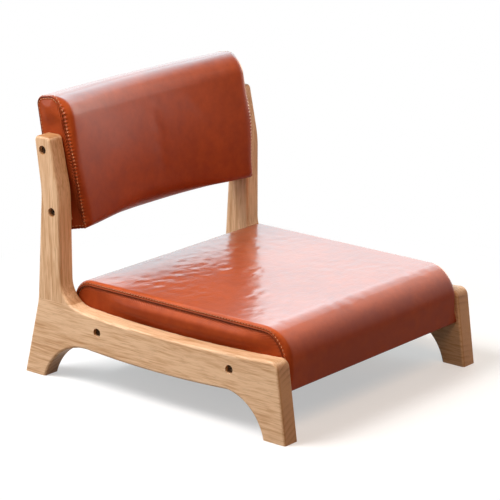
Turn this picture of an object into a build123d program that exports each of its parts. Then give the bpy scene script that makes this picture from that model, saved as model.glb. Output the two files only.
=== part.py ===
from build123d import *
import os
from math import asin, cos, degrees, radians, sin, tan

# A low floor chair: two solid-wood side frames hold a padded leather seat and a bowed leather back pad.
# X runs across the chair with the sitter's left at +X, Y runs from front to back and Z is up.
# Lengths are in millimetres and angles in degrees.

# Side frames: a rail with two feet and an arch, and a bent post that is doweled on the rail's rear end
WIDTH = 480.0  # across the chair, outer face to outer face
BOARD = 30.0  # thickness of the frame boards
EDGE_ROUND = 4.0  # rounded long edges of the boards
FOOT_REACH = 262.5  # middle of the rail to the tip of either foot, on the floor
FOOT_LENGTH = 43.0  # each foot's flat on the floor
FRONT_RAKE = 7.7  # lean of the rail's front end from upright
NOSE_HEIGHT = 124.0  # top corner of the rail's front end
NOSE_ROUND = 14.0
RAIL_TOP = 115.5  # lowest point of the dished top edge
RAIL_UNDERSIDE = 57.0  # lowest point of the dished underside
ARCH_HEIGHT = 62.0  # ends of the underside, where the arch turns down to the feet
FRONT_ARCH_RUN = 67.5  # from the foot's inner corner to the end of the underside
FRONT_ARCH_RADIUS = 80.0
REAR_ARCH_RUN = 89.5
REAR_ARCH_RADIUS = 92.0
ARCH_ROUND = 22.0  # eased corner between the underside and the arch
POST_BASE = 49.0  # width of the post where it leaves the rail
POST_WAIST = 37.0  # width of the post at its bend
POST_TIP = 31.5  # width of the post at its top
POST_BEND = 300.0  # height of the bend
POST_HEIGHT = 386.0
POST_RECLINE = 11.5  # lean of the front edge above the bend
CROOK_ROUND = 42.0  # swept corner between the rail's top and the post
BEND_ROUND = 150.0
HEEL_ROUND = 120.0  # eased corner behind the joint
TIP_ROUND = 7.5
JOINT_HEIGHT = 127.0  # glue line between rail and post

# Dowels in the glue line
DOWEL = 10.0
DOWEL_LENGTH = 60.0
DOWEL_SPACING = 24.0
DOWEL_CHAMFER = 1.0
DOWEL_FIT = 0.1
DOWEL_END_ROOM = 1.0

# Connector bolts and threaded inserts
BOLT = 6.0
BOLT_LENGTH = 40.0
BOLT_CLEARANCE = 0.5
BOLT_TIP_ROOM = 1.0
BOLT_CHAMFER = 0.8
HEAD = 13.0
HEAD_THICKNESS = 3.0
HEAD_ROUND = 0.8
SOCKET = 4.0  # across the flats of the hexagon socket
SOCKET_DEPTH = 2.0
COUNTERBORE = 14.0
COUNTERBORE_DEPTH = 9.0
INSERT = 11.0
INSERT_LENGTH = 14.0
INSERT_CHAMFER = 0.6
THREAD_FIT = 0.05

# Seat
COVER = 1.5  # thickness of the leather
SIDE_FIT = 0.3  # between the leather ends and the side frames
SEAT_SETBACK = 16.5  # seat's front face behind the tips of the front feet
SEAT_DEPTH = 428.0
SEAT_HEIGHT = 164.5  # top of the crown above the floor
SEAT_CROWN = 2.5  # rise of the top from either side to the middle
SEAT_FRONT_ROUND = 50.0  # waterfall front
SEAT_REAR_ROUND = 34.0
SEAT_SIDE_ROUND = 5.5  # drawn-in edge between the top panel and the side gussets
SEAT_BOLT_HEIGHT = 94.5
SEAT_BOLT_SETBACK = 89.5  # front bolts behind the seat's front face
SEAT_BOLT_REAR_SETBACK = 75.2  # rear bolts ahead of the seat's rear
FRAME_HEIGHT = 45.0  # seat frame boards
FRAME_BOARD = 20.0
FRAME_LIP = 2.5  # foam between the drawn-in corner and the frame, at front and rear
CORNER_BLOCK = 40.0
CORNER_BLOCK_HEIGHT = 35.0
DECK = 9.0
SCREW = 4.0
SCREW_HEAD = 8.0
SCREW_LENGTH = 30.0
FLANGE = 25.0  # leather turned under the frame
DUST_CLOTH = 0.8
DUST_CLOTH_MARGIN = 8.0  # dust cloth inside the edge of the frame

# Back pad, measured from the middle of the bolt line: depth is positive to the rear, along the recline is up
BACK_BOLT_SETBACK = 23.2  # middle of the bolt line behind the post's front edge
BACK_BOLT_HEIGHT = 317.0
BACK_BOLT_SPACING = 96.7
BACK_RECLINE = 9.75
BACK_RISE = 127.5  # top of the pad above the middle of the bolt line
BACK_DROP = 82.0  # bottom of the pad below it
BACK_FRONT = 36.0  # front of the pad at its top and bottom
BACK_CROWN = 4.0  # further swell of the front at half height
BACK_REAR = 27.0
BACK_BOW = 22.0  # how far the middle of the pad lies behind its ends
BACK_TOP_FRONT_ROUND = 38.0
BACK_TOP_REAR_ROUND = 14.0
BACK_BOTTOM_FRONT_ROUND = 34.0
BACK_BOTTOM_REAR_ROUND = 14.0
BACK_SIDE_ROUND = 16.0  # drawn-in front edge beside the gussets
CORE = 18.0  # moulded plywood
CORE_RIM = 14.0  # foam above and below the core
CORE_EDGE = 3.0

# Reach of a cutting tool past the material
PAST = 40.0

# Places that several pieces share
INNER = WIDTH / 2 - BOARD  # inner face of a side frame
PAD_HALF = INNER - SIDE_FIT  # half the length of the seat and of the back pad
INSIDE_HALF = PAD_HALF - COVER  # half the length of the seat frame and of the back core, inside the leather
HEAD_SEAT = WIDTH / 2 - COUNTERBORE_DEPTH  # where a bolt head bears on the wood
SEAT_FRONT = -FOOT_REACH + SEAT_SETBACK
SEAT_REAR = SEAT_FRONT + SEAT_DEPTH
POST_FRONT = SEAT_REAR  # the front edge of a post is in line with the seat's rear
FRAME_BOTTOM = SEAT_BOLT_HEIGHT - FRAME_HEIGHT / 2
FRAME_TOP = FRAME_BOTTOM + FRAME_HEIGHT
SEAT_BOTTOM = FRAME_BOTTOM - COVER
DECK_TOP = FRAME_TOP + DECK
FRAME_FRONT = SEAT_FRONT + SEAT_SIDE_ROUND + FRAME_LIP
FRAME_REAR = SEAT_REAR - SEAT_SIDE_ROUND - FRAME_LIP
SEAT_BOLT_FRONT = SEAT_FRONT + SEAT_BOLT_SETBACK
SEAT_BOLT_REAR = SEAT_REAR - SEAT_BOLT_REAR_SETBACK
SEAT_BOLT_SPACING = SEAT_BOLT_REAR - SEAT_BOLT_FRONT
SEAT_BOLTS = [(SEAT_BOLT_FRONT, SEAT_BOLT_HEIGHT), (SEAT_BOLT_REAR, SEAT_BOLT_HEIGHT)]
LEAN = radians(BACK_RECLINE)
BACK_MIDDLE = (POST_FRONT + BACK_BOLT_SETBACK, BACK_BOLT_HEIGHT)
BACK_BOLTS = [
    (BACK_MIDDLE[0] + along * sin(LEAN), BACK_MIDDLE[1] + along * cos(LEAN))
    for along in (-BACK_BOLT_SPACING / 2, BACK_BOLT_SPACING / 2)
]


def arc_radius(chord_half, rise):
    """Radius of the arc that rises by rise over a chord of twice chord_half."""
    return (chord_half**2 + rise**2) / (2 * rise)


def rounded(face, corners):
    """The face with each corner, given as a point and a radius, rounded."""
    for point, radius in corners:
        corner = face.vertices().sort_by_distance(point)[0]
        face = fillet(corner, radius)
    return face


def block(x_range, y_range, z_range):
    """A box between two limits on each axis."""
    size = [high - low for low, high in (x_range, y_range, z_range)]
    middle = [(low + high) / 2 for low, high in (x_range, y_range, z_range)]
    return Pos(*middle) * Box(*size)


def cross_rod(diameter, x_range, place):
    """A round bar along X at a place (y, z)."""
    low, high = x_range
    return Pos((low + high) / 2, *place) * Rot(0, 90, 0) * Cylinder(diameter / 2, high - low)


def both_sides(solid):
    """A right-hand solid and its mirror image."""
    return [solid, mirror(solid, about=Plane.YZ)]


def group(shapes):
    """Separate solids kept together as one sub-part."""
    return Compound([solid for shape in shapes for solid in shape.solids()])


def side_outline():
    """Rail and post together, seen from the side: feet, arch, dished top, swept crook and bent post."""
    toe = (-FOOT_REACH, 0)
    toe_inner = (FOOT_LENGTH - FOOT_REACH, 0)
    heel = (FOOT_REACH, 0)
    heel_inner = (FOOT_REACH - FOOT_LENGTH, 0)
    nose = (NOSE_HEIGHT * tan(radians(FRONT_RAKE)) - FOOT_REACH, NOSE_HEIGHT)
    crook = (POST_FRONT, NOSE_HEIGHT)
    dish = ((nose[0] + crook[0]) / 2, RAIL_TOP)
    bend = (POST_FRONT, POST_BEND)
    tip = (POST_FRONT + (POST_HEIGHT - POST_BEND) * tan(radians(POST_RECLINE)), POST_HEIGHT)
    tip_rear = (tip[0] + POST_TIP, POST_HEIGHT)
    bend_rear = (POST_FRONT + POST_WAIST, POST_BEND)
    heel_top = (POST_FRONT + POST_BASE, NOSE_HEIGHT)
    arch_rear = (heel_inner[0] - REAR_ARCH_RUN, ARCH_HEIGHT)
    arch_front = (toe_inner[0] + FRONT_ARCH_RUN, ARCH_HEIGHT)
    under = ((arch_rear[0] + arch_front[0]) / 2, RAIL_UNDERSIDE)
    edges = [
        Line(toe, nose),
        ThreePointArc(nose, dish, crook),
        Polyline(crook, bend, tip, tip_rear, bend_rear, heel_top, heel, heel_inner),
        RadiusArc(heel_inner, arch_rear, -REAR_ARCH_RADIUS),
        ThreePointArc(arch_rear, under, arch_front),
        RadiusArc(arch_front, toe_inner, -FRONT_ARCH_RADIUS),
        Line(toe_inner, toe),
    ]
    corners = [
        (nose, NOSE_ROUND),
        (crook, CROOK_ROUND),
        (bend, BEND_ROUND),
        (tip, TIP_ROUND),
        (tip_rear, TIP_ROUND),
        (bend_rear, BEND_ROUND),
        (heel_top, HEEL_ROUND),
        (arch_rear, ARCH_ROUND),
        (arch_front, ARCH_ROUND),
    ]
    return rounded(make_face(edges), corners)


def bolt_holes(places):
    """Counterbored clearance holes through a right-hand frame board."""
    holes = []
    for place in places:
        holes.append(cross_rod(COUNTERBORE, (-WIDTH / 2 - PAST, -HEAD_SEAT), place))
        holes.append(cross_rod(BOLT + 2 * BOLT_CLEARANCE, (-WIDTH / 2, -INNER + PAST), place))
    return holes


def dowel_places():
    """Y of the dowels, evenly set about the middle of the post's base."""
    middle = POST_FRONT + POST_BASE / 2
    return [middle - DOWEL_SPACING / 2, middle + DOWEL_SPACING / 2]


def upright_rod(diameter, length, y):
    """A round bar standing in the right-hand glue line."""
    return Pos(-WIDTH / 2 + BOARD / 2, y, JOINT_HEIGHT) * Cylinder(diameter / 2, length)


def right_frame():
    """The right-hand rail and post, cut apart at the glue line."""
    board = Pos(-WIDTH / 2, 0, 0) * extrude(Plane.YZ * side_outline(), BOARD)
    rims = [edge for edge in board.edges() if edge.bounding_box().size.X < EDGE_ROUND]
    rims = [edge for edge in rims if edge.center().Z > EDGE_ROUND]
    board = fillet(rims, EDGE_ROUND)
    board -= bolt_holes(SEAT_BOLTS + BACK_BOLTS)
    hole_length = DOWEL_LENGTH + 2 * DOWEL_END_ROOM
    board -= [upright_rod(DOWEL + 2 * DOWEL_FIT, hole_length, y) for y in dowel_places()]
    upper = block(
        (-WIDTH / 2 - PAST, -INNER + PAST),
        (POST_FRONT - CROOK_ROUND - PAST, FOOT_REACH + PAST),
        (JOINT_HEIGHT, POST_HEIGHT + PAST),
    )
    return board - upper, board & upper


def right_dowels():
    """The dowels across the right-hand glue line."""
    dowels = []
    for y in dowel_places():
        dowel = upright_rod(DOWEL, DOWEL_LENGTH, y)
        dowels.append(chamfer(dowel.edges().filter_by(GeomType.CIRCLE), DOWEL_CHAMFER))
    return group(dowels)


def right_bolt(place):
    """A flat-headed connector bolt driven inwards from the right-hand side."""
    head = cross_rod(HEAD, (-HEAD_SEAT - HEAD_THICKNESS, -HEAD_SEAT), place)
    head = fillet(head.edges().group_by(Axis.X)[0], HEAD_ROUND)
    shank = cross_rod(BOLT, (-HEAD_SEAT, -HEAD_SEAT + BOLT_LENGTH), place)
    shank = chamfer(shank.edges().group_by(Axis.X)[-1], BOLT_CHAMFER)
    hexagon = RegularPolygon(SOCKET / 2, 6, major_radius=False)
    mouth = Plane((-HEAD_SEAT - HEAD_THICKNESS, *place), x_dir=(0, 1, 0), z_dir=(1, 0, 0))
    return head + shank - extrude(mouth * hexagon, SOCKET_DEPTH)


def right_insert(place):
    """A threaded insert set flush in a wooden end at half the frame width, opening to the right."""
    outside = cross_rod(INSERT, (-INSIDE_HALF, -INSIDE_HALF + INSERT_LENGTH), place)
    outside = chamfer(outside.edges().filter_by(GeomType.CIRCLE), INSERT_CHAMFER)
    bore = cross_rod(BOLT + 2 * THREAD_FIT, (-INSIDE_HALF - PAST, -INSIDE_HALF + PAST), place)
    return outside - bore


def insert_holes(places):
    """Holes for the inserts and for the bolt tips behind them, on the right-hand side."""
    holes = []
    for place in places:
        bottom = INSERT_LENGTH - INSIDE_HALF
        tip = BOLT_LENGTH + BOLT_TIP_ROOM - HEAD_SEAT
        holes.append(cross_rod(INSERT + 2 * THREAD_FIT, (-INSIDE_HALF - PAST, bottom), place))
        holes.append(cross_rod(BOLT + 2 * BOLT_CLEARANCE, (-INSIDE_HALF, tip), place))
    return holes


def bolt_group(places):
    """One bolt at each place on both sides of the chair."""
    return group(bolt for place in places for bolt in both_sides(right_bolt(place)))


def insert_group(places):
    """One threaded insert at each place on both sides of the chair."""
    return group(insert for place in places for insert in both_sides(right_insert(place)))


def turned(section, axis, reach, least_radius):
    """The section swung about a far axis, far enough either way to pass reach on X."""
    half_turn = degrees(asin((reach + PAST) / least_radius))
    return revolve(section.rotate(axis, -half_turn), axis, 2 * half_turn)


def seat_form(inset):
    """The seat's whole form, drawn in by inset: flat below, waterfall front, crown and drawn-in sides."""
    crown_radius = arc_radius(PAD_HALF, SEAT_CROWN)
    front, rear, top = SEAT_FRONT + inset, SEAT_REAR - inset, SEAT_HEIGHT - inset
    low = SEAT_BOTTOM - PAST
    section = make_face(Polyline((front, low), (front, top), (rear, top), (rear, low), close=True))
    corners = [((front, top), SEAT_FRONT_ROUND - inset), ((rear, top), SEAT_REAR_ROUND - inset)]
    section = Plane.YZ * rounded(section, corners)
    axis = Axis((0, 0, SEAT_HEIGHT - crown_radius), (0, 1, 0))
    form = turned(section, axis, PAD_HALF, crown_radius - SEAT_HEIGHT)
    half = PAD_HALF - inset
    form &= block((-half, half), (front - PAST, rear + PAST), (SEAT_BOTTOM + inset, top + PAST))
    return draw_in(form, half, SEAT_BOTTOM + inset, SEAT_SIDE_ROUND - inset)


def draw_in(form, half, bottom, radius):
    """Rounds the edges at both ends of a form, apart from those along its flat bottom."""
    ends = [edge for edge in form.edges() if abs(edge.center().X) > half - radius / 2]
    ends = [edge for edge in ends if edge.bounding_box().size.X < radius / 2]
    ends = [edge for edge in ends if edge.bounding_box().max.Z > bottom + radius / 2]
    return fillet(ends, radius)


def end_plates(form, thickness):
    """Plates cut from the flat ends of a form: the right-hand one and the left-hand one."""
    faces = form.faces().sort_by(Axis.X)
    return extrude(faces[0], -thickness), extrude(faces[-1], -thickness)


def covered(outer, inner, bolts):
    """Leather between two forms: the main panel, then the right and left gussets with their bolt holes."""
    right, left = end_plates(outer, COVER)
    panel = outer - inner - right - left
    for place in bolts:
        hole = cross_rod(BOLT + 2 * BOLT_CLEARANCE, (-WIDTH / 2, WIDTH / 2), place)
        right -= hole
        left -= hole
    return panel, right, left


def seat_boards():
    """The front, rear, right and left boards of the seat frame."""
    height = (FRAME_BOTTOM, FRAME_TOP)
    across = (-INSIDE_HALF, INSIDE_HALF)
    front = block(across, (FRAME_FRONT, FRAME_FRONT + FRAME_BOARD), height)
    rear = block(across, (FRAME_REAR - FRAME_BOARD, FRAME_REAR), height)
    between = (FRAME_FRONT + FRAME_BOARD, FRAME_REAR - FRAME_BOARD)
    right = block((-INSIDE_HALF, FRAME_BOARD - INSIDE_HALF), between, height) - insert_holes(SEAT_BOLTS)
    screws = deck_screws()
    right, left = both_sides(right)
    return [board - screws for board in (front, rear, right, left)]


def corner_blocks():
    """Glue blocks with a right-angled plan in the four inner corners of the seat frame."""
    x, front, rear = FRAME_BOARD - INSIDE_HALF, FRAME_FRONT + FRAME_BOARD, FRAME_REAR - FRAME_BOARD
    blocks = []
    for y, inward in ((front, CORNER_BLOCK), (rear, -CORNER_BLOCK)):
        plan = make_face(Polyline((x, y), (x, y + inward), (x + CORNER_BLOCK, y), close=True))
        prism = Pos(0, 0, FRAME_TOP - CORNER_BLOCK_HEIGHT) * extrude(plan, CORNER_BLOCK_HEIGHT, dir=(0, 0, 1))
        blocks += both_sides(prism)
    return group(blocks)


def screw_places():
    """X and Y of the deck screws: two in each board, clear of the frame bolts."""
    middle = FRAME_BOARD / 2
    third = SEAT_BOLT_SPACING / 3
    side = INSIDE_HALF - middle
    ends = [(x, y) for x in (-third, third) for y in (FRAME_FRONT + middle, FRAME_REAR - middle)]
    sides = [(x, SEAT_BOLT_FRONT + step * third) for x in (-side, side) for step in (1, 2)]
    return ends + sides


def deck_screws():
    """Countersunk wood screws through the deck into the frame boards."""
    sink = (SCREW_HEAD - SCREW) / 2
    profile = Polyline(
        (0, 0),
        (SCREW_HEAD / 2, 0),
        (SCREW / 2, -sink),
        (SCREW / 2, SCREW - SCREW_LENGTH),
        (0, -SCREW_LENGTH),
        close=True,
    )
    screw = revolve(Plane.XZ * make_face(profile), Axis.Z)
    return [Pos(x, y, DECK_TOP) * screw for x, y in screw_places()]


def seat_deck():
    """Plywood deck on top of the seat frame."""
    deck = block((-INSIDE_HALF, INSIDE_HALF), (FRAME_FRONT, FRAME_REAR), (FRAME_TOP, DECK_TOP))
    return deck - deck_screws()


def seat_foam(inner):
    """Foam that fills the cover above the deck and hangs down in front of and behind the frame."""
    frame = block((-WIDTH, WIDTH), (FRAME_FRONT, FRAME_REAR), (SEAT_BOTTOM - PAST, DECK_TOP))
    return inner - frame


def seat_window():
    """The opening under the frame, inside the turned-in flange of the leather."""
    half = INSIDE_HALF - FLANGE
    y_range = (FRAME_FRONT + FLANGE, FRAME_REAR - FLANGE)
    return block((-half, half), y_range, (SEAT_BOTTOM - PAST, FRAME_BOTTOM))


def dust_cover():
    """Thin cloth that closes the underside of the seat, stapled over the leather flange."""
    half = INSIDE_HALF - DUST_CLOTH_MARGIN
    y_range = (FRAME_FRONT + DUST_CLOTH_MARGIN, FRAME_REAR - DUST_CLOTH_MARGIN)
    return block((-half, half), y_range, (SEAT_BOTTOM - DUST_CLOTH, SEAT_BOTTOM))


BACK_RADIUS = arc_radius(PAD_HALF, BACK_BOW)
BACK_SECTION = Plane((0, *BACK_MIDDLE), x_dir=(0, cos(LEAN), -sin(LEAN)), z_dir=(1, 0, 0))
BACK_PLAN = Plane((0, *BACK_MIDDLE), x_dir=(1, 0, 0), z_dir=(0, sin(LEAN), cos(LEAN)))


def bowed(section):
    """A back section, drawn at the ends of the pad, bowed so that the middle lies further back."""
    axis_place = BACK_SECTION.from_local_coords((BACK_BOW - BACK_RADIUS, 0, 0))
    axis = Axis(axis_place, BACK_PLAN.z_dir)
    section = BACK_SECTION * Pos(BACK_BOW, 0, 0) * section
    return turned(section, axis, PAD_HALF, BACK_RADIUS - BACK_FRONT - PAST)


def between_ends(form, inset):
    """A bowed form cut flat at its ends, with its front corners drawn in beside the gussets."""
    half = PAD_HALF - inset
    front = inset - BACK_FRONT - BACK_CROWN
    plan = make_face(Polyline((-half, front), (half, front), (half, WIDTH), (-half, WIDTH), close=True))
    radius = BACK_SIDE_ROUND - inset
    plan = rounded(plan, [((-half, front), radius), ((half, front), radius)])
    return form & extrude(BACK_PLAN * plan, WIDTH, both=True)


def back_form(inset):
    """The back pad's whole form, drawn in by inset: crowned front, rounded rim, bowed along its length."""
    front, rear = inset - BACK_FRONT, BACK_REAR - inset
    top, bottom = BACK_RISE - inset, inset - BACK_DROP
    swell = (front - BACK_CROWN, (top + bottom) / 2)
    edges = [
        ThreePointArc((front, bottom), swell, (front, top)),
        Polyline((front, top), (rear, top), (rear, bottom), (front, bottom)),
    ]
    corners = [
        ((front, top), BACK_TOP_FRONT_ROUND - inset),
        ((rear, top), BACK_TOP_REAR_ROUND - inset),
        ((rear, bottom), BACK_BOTTOM_REAR_ROUND - inset),
        ((front, bottom), BACK_BOTTOM_FRONT_ROUND - inset),
    ]
    return between_ends(bowed(rounded(make_face(edges), corners)), inset)


def core_outline():
    """Section of the core at the ends of the pad."""
    height = BACK_RISE + BACK_DROP - 2 * CORE_RIM
    return Pos(0, (BACK_RISE - BACK_DROP) / 2) * RectangleRounded(CORE, height, CORE_EDGE)


def back_core(shape):
    """Moulded plywood panel cut to length, with the threaded inserts' holes in its ends."""
    core = shape & block((-INSIDE_HALF, INSIDE_HALF), (-WIDTH, WIDTH), (0, 2 * POST_HEIGHT))
    holes = insert_holes(BACK_BOLTS)
    return core - holes - [mirror(hole, about=Plane.YZ) for hole in holes]


def back_foams(inner, core_shape):
    """Front foam pad, and the foam that wraps the rims and the rear of the core."""
    reach = BACK_FRONT + BACK_CROWN + PAST / 2
    ahead = Pos(-(CORE + reach) / 2, 0) * Rectangle(reach, 2 * (BACK_RISE + BACK_DROP))
    front_space = bowed(ahead)
    return inner & front_space, inner - front_space - core_shape


def frame_parts():
    """Rails, posts and dowels of both sides."""
    rail, post = right_frame()
    parts = {}
    for name, solid in (("side_rail", rail), ("back_post", post), ("post_dowels", right_dowels())):
        parts[f"right_{name}"], parts[f"left_{name}"] = both_sides(solid)
    return parts


def seat_parts():
    """The bolted-in seat, from the frame out to the leather."""
    outer, inner = seat_form(0), seat_form(COVER)
    panel, right, left = covered(outer, inner, SEAT_BOLTS)
    front_board, rear_board, right_board, left_board = seat_boards()
    return {
        "seat_front_board": front_board,
        "seat_rear_board": rear_board,
        "seat_right_board": right_board,
        "seat_left_board": left_board,
        "seat_corner_blocks": corner_blocks(),
        "seat_deck": seat_deck(),
        "seat_deck_screws": group(deck_screws()),
        "seat_foam": seat_foam(inner),
        "seat_cover_panel": panel - seat_window(),
        "seat_cover_right_gusset": right,
        "seat_cover_left_gusset": left,
        "seat_dust_cover": dust_cover(),
        "seat_bolts": bolt_group(SEAT_BOLTS),
        "seat_insert_nuts": insert_group(SEAT_BOLTS),
    }


def back_parts():
    """The bolted-in back pad, from the core out to the leather."""
    outer, inner = back_form(0), back_form(COVER)
    panel, right, left = covered(outer, inner, BACK_BOLTS)
    core_shape = bowed(core_outline())
    front_foam, rear_foam = back_foams(inner, core_shape)
    return {
        "back_core": back_core(core_shape),
        "back_front_foam": front_foam,
        "back_rear_foam": rear_foam,
        "back_cover_panel": panel,
        "back_cover_right_gusset": right,
        "back_cover_left_gusset": left,
        "back_bolts": bolt_group(BACK_BOLTS),
        "back_insert_nuts": insert_group(BACK_BOLTS),
    }


def main():
    """Writes each sub-part with the origin on the floor under the middle of the chair."""
    parts = {**frame_parts(), **seat_parts(), **back_parts()}
    boxes = [part.bounding_box() for part in parts.values()]
    middle = (min(box.min.Y for box in boxes) + max(box.max.Y for box in boxes)) / 2
    os.makedirs("parts", exist_ok=True)
    for name, part in parts.items():
        export_step(Pos(0, -middle, 0) * part, f"parts/{name}.step")


main()
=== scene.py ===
# %% [markdown]
# # A low floor chair in leather and pale wood
# The CAD model already has the right boards, bolts and outlines, so this lesson leaves them where they are.
# It gives them their finishes and sews new leather over the seat and the back, which CAD can only hint at.
# Every length is in metres, in the same frame as the CAD: X runs across, Y to the rear and Z up.

# %% Load the CAD frame
import math

import bpy
import numpy as np
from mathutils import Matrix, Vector


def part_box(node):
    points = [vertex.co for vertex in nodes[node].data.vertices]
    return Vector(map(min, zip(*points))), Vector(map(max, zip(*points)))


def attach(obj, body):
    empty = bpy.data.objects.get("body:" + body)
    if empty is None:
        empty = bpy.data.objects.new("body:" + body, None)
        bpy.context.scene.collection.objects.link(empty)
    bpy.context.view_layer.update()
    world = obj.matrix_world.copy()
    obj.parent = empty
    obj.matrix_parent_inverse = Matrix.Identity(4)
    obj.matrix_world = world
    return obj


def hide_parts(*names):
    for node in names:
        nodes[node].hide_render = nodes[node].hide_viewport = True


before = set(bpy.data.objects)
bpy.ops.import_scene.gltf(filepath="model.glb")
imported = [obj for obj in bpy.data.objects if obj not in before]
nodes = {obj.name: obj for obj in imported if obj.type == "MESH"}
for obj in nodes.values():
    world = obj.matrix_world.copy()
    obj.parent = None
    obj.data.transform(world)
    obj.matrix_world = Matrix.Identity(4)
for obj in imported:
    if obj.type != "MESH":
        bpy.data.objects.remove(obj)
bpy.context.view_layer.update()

MM = 0.001

# %% [markdown]
# ## Camera
# A long lens looks from the front right corner, a little above the seat, so the far side of the chair is
# hardly smaller than the near side. The place was found by fitting the corners of the two side frames.

# %% Camera
CAMERA_PLACE = Vector((-2.8519, -2.3642, 1.2943))
CAMERA_AZIMUTH, CAMERA_ELEVATION = math.radians(-50.378), math.radians(16.588)
LENS, SENSOR_WIDTH = 178.36, 36


def looking_back(azimuth, elevation):
    """Unit vector from the object to the eye: azimuth turns about Z from the front, elevation lifts."""
    level = math.cos(elevation)
    return Vector((math.sin(azimuth) * level, -math.cos(azimuth) * level, math.sin(elevation)))


camera = bpy.data.objects.new("camera", bpy.data.cameras.new("camera"))
camera.data.lens = LENS
camera.data.sensor_width = SENSOR_WIDTH
camera.location = CAMERA_PLACE
camera.rotation_mode = "QUATERNION"
camera.rotation_quaternion = (-looking_back(CAMERA_AZIMUTH, CAMERA_ELEVATION)).to_track_quat("-Z", "Y")
bpy.context.scene.collection.objects.link(camera)
bpy.context.scene.camera = camera
bpy.context.scene.view_settings.view_transform = "Standard"
print("camera at", [round(x, 3) for x in camera.location])

# %% [markdown]
# ## Shader arithmetic
# Finishes are sums and products of patterns. Wrapping a socket in a small class lets a pattern be written
# as arithmetic, and each operation adds its Math node by itself.


# %% Shader arithmetic
class Wire:
    """A socket of a node tree. Arithmetic on it adds Math nodes, and add() makes any other node."""

    def __init__(self, tree, socket=None):
        self.tree = tree
        self.socket = socket

    def add(self, kind, settings=None, values=None, output=0):
        """A node of this kind: its settings first, then its inputs, each a number, a colour or a wire."""
        node = self.tree.nodes.new(kind)
        for name, value in (settings or {}).items():
            setattr(node, name, value)
        for name, value in (values or {}).items():
            if isinstance(value, Wire):
                self.tree.links.new(value.socket, node.inputs[name])
            else:
                node.inputs[name].default_value = value
        return Wire(self.tree, node.outputs[output] if len(node.outputs) else None)

    def math(self, operation, *terms):
        """One Math node on these terms."""
        return self.add("ShaderNodeMath", {"operation": operation}, dict(enumerate(terms)))

    def __add__(self, other):
        return self.math("ADD", self, other)

    def __sub__(self, other):
        return self.math("SUBTRACT", self, other)

    def __rsub__(self, other):
        return self.math("SUBTRACT", other, self)

    def __mul__(self, other):
        return self.math("MULTIPLY", self, other)

    def __truediv__(self, other):
        return self.math("DIVIDE", self, other)

    def __pow__(self, other):
        return self.math("POWER", self, other)

    __radd__ = __add__
    __rmul__ = __mul__

    def between(self, low, high):
        """0 below low, 1 above high and a smooth rise between them."""
        return self.add("ShaderNodeMapRange", {"interpolation_type": "SMOOTHSTEP"},
                        {"Value": self, "From Min": low, "From Max": high})

    def blend(self, start, end):
        """The colour start where this wire is 0 and end where it is 1."""
        return self.add("ShaderNodeMix", {"data_type": "RGBA"}, {0: self, 6: start, 7: end}, output=2)

    def stretched(self, x, y, z):
        """This vector wire multiplied along each axis."""
        return self.add("ShaderNodeVectorMath", {"operation": "MULTIPLY"}, {0: self, 1: (x, y, z)})

    def wandering(self, scale, amount):
        """This vector moved about by slow noise, by 0 to about the amount along each axis."""
        values = {"Vector": self, "Scale": scale, "Detail": 1.0}
        drift = self.add("ShaderNodeTexNoise", {}, values, output="Color")
        terms = {0: drift, 1: (amount,) * 3, 2: self}
        return self.add("ShaderNodeVectorMath", {"operation": "MULTIPLY_ADD"}, terms)

    def noise(self, scale, detail=2.0, roughness=0.5):
        """Cloudy noise at this vector, about 0 to 1."""
        values = {"Vector": self, "Scale": scale, "Detail": detail, "Roughness": roughness}
        return self.add("ShaderNodeTexNoise", {}, values)


def new_material(name):
    """An empty node material, a wire to build on, and the Object coordinates."""
    material = bpy.data.materials.new(name)
    material.use_nodes = True
    material.node_tree.nodes.clear()
    wire = Wire(material.node_tree)
    place = wire.add("ShaderNodeTexCoord", output="Object")
    return material, wire, place


def shade(material, wire, **values):
    """Closes a material with one Principled shader; underscores in the names stand for spaces."""
    inputs = {name.replace("_", " "): value for name, value in values.items()}
    surface = wire.add("ShaderNodeBsdfPrincipled", {}, inputs)
    wire.add("ShaderNodeOutputMaterial", {}, {"Surface": surface})
    print("material", material.name, "with", len(wire.tree.nodes), "nodes")
    return material


def bump(wire, height, distance, strength=1.0):
    """A Bump node on a height wire, with distance in metres."""
    return wire.add("ShaderNodeBump", {}, {"Height": height, "Distance": distance, "Strength": strength})


# %% [markdown]
# ## Pale wood
# Each board is cut from a log, so its figure is a solid pattern: growth rings round a pith that lies outside
# the board, long fibres, and the open pores of a ring-porous wood. Drawn in three dimensions, the same rings
# become lines along the board's face and arcs on its end, as they do in real timber.


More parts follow.
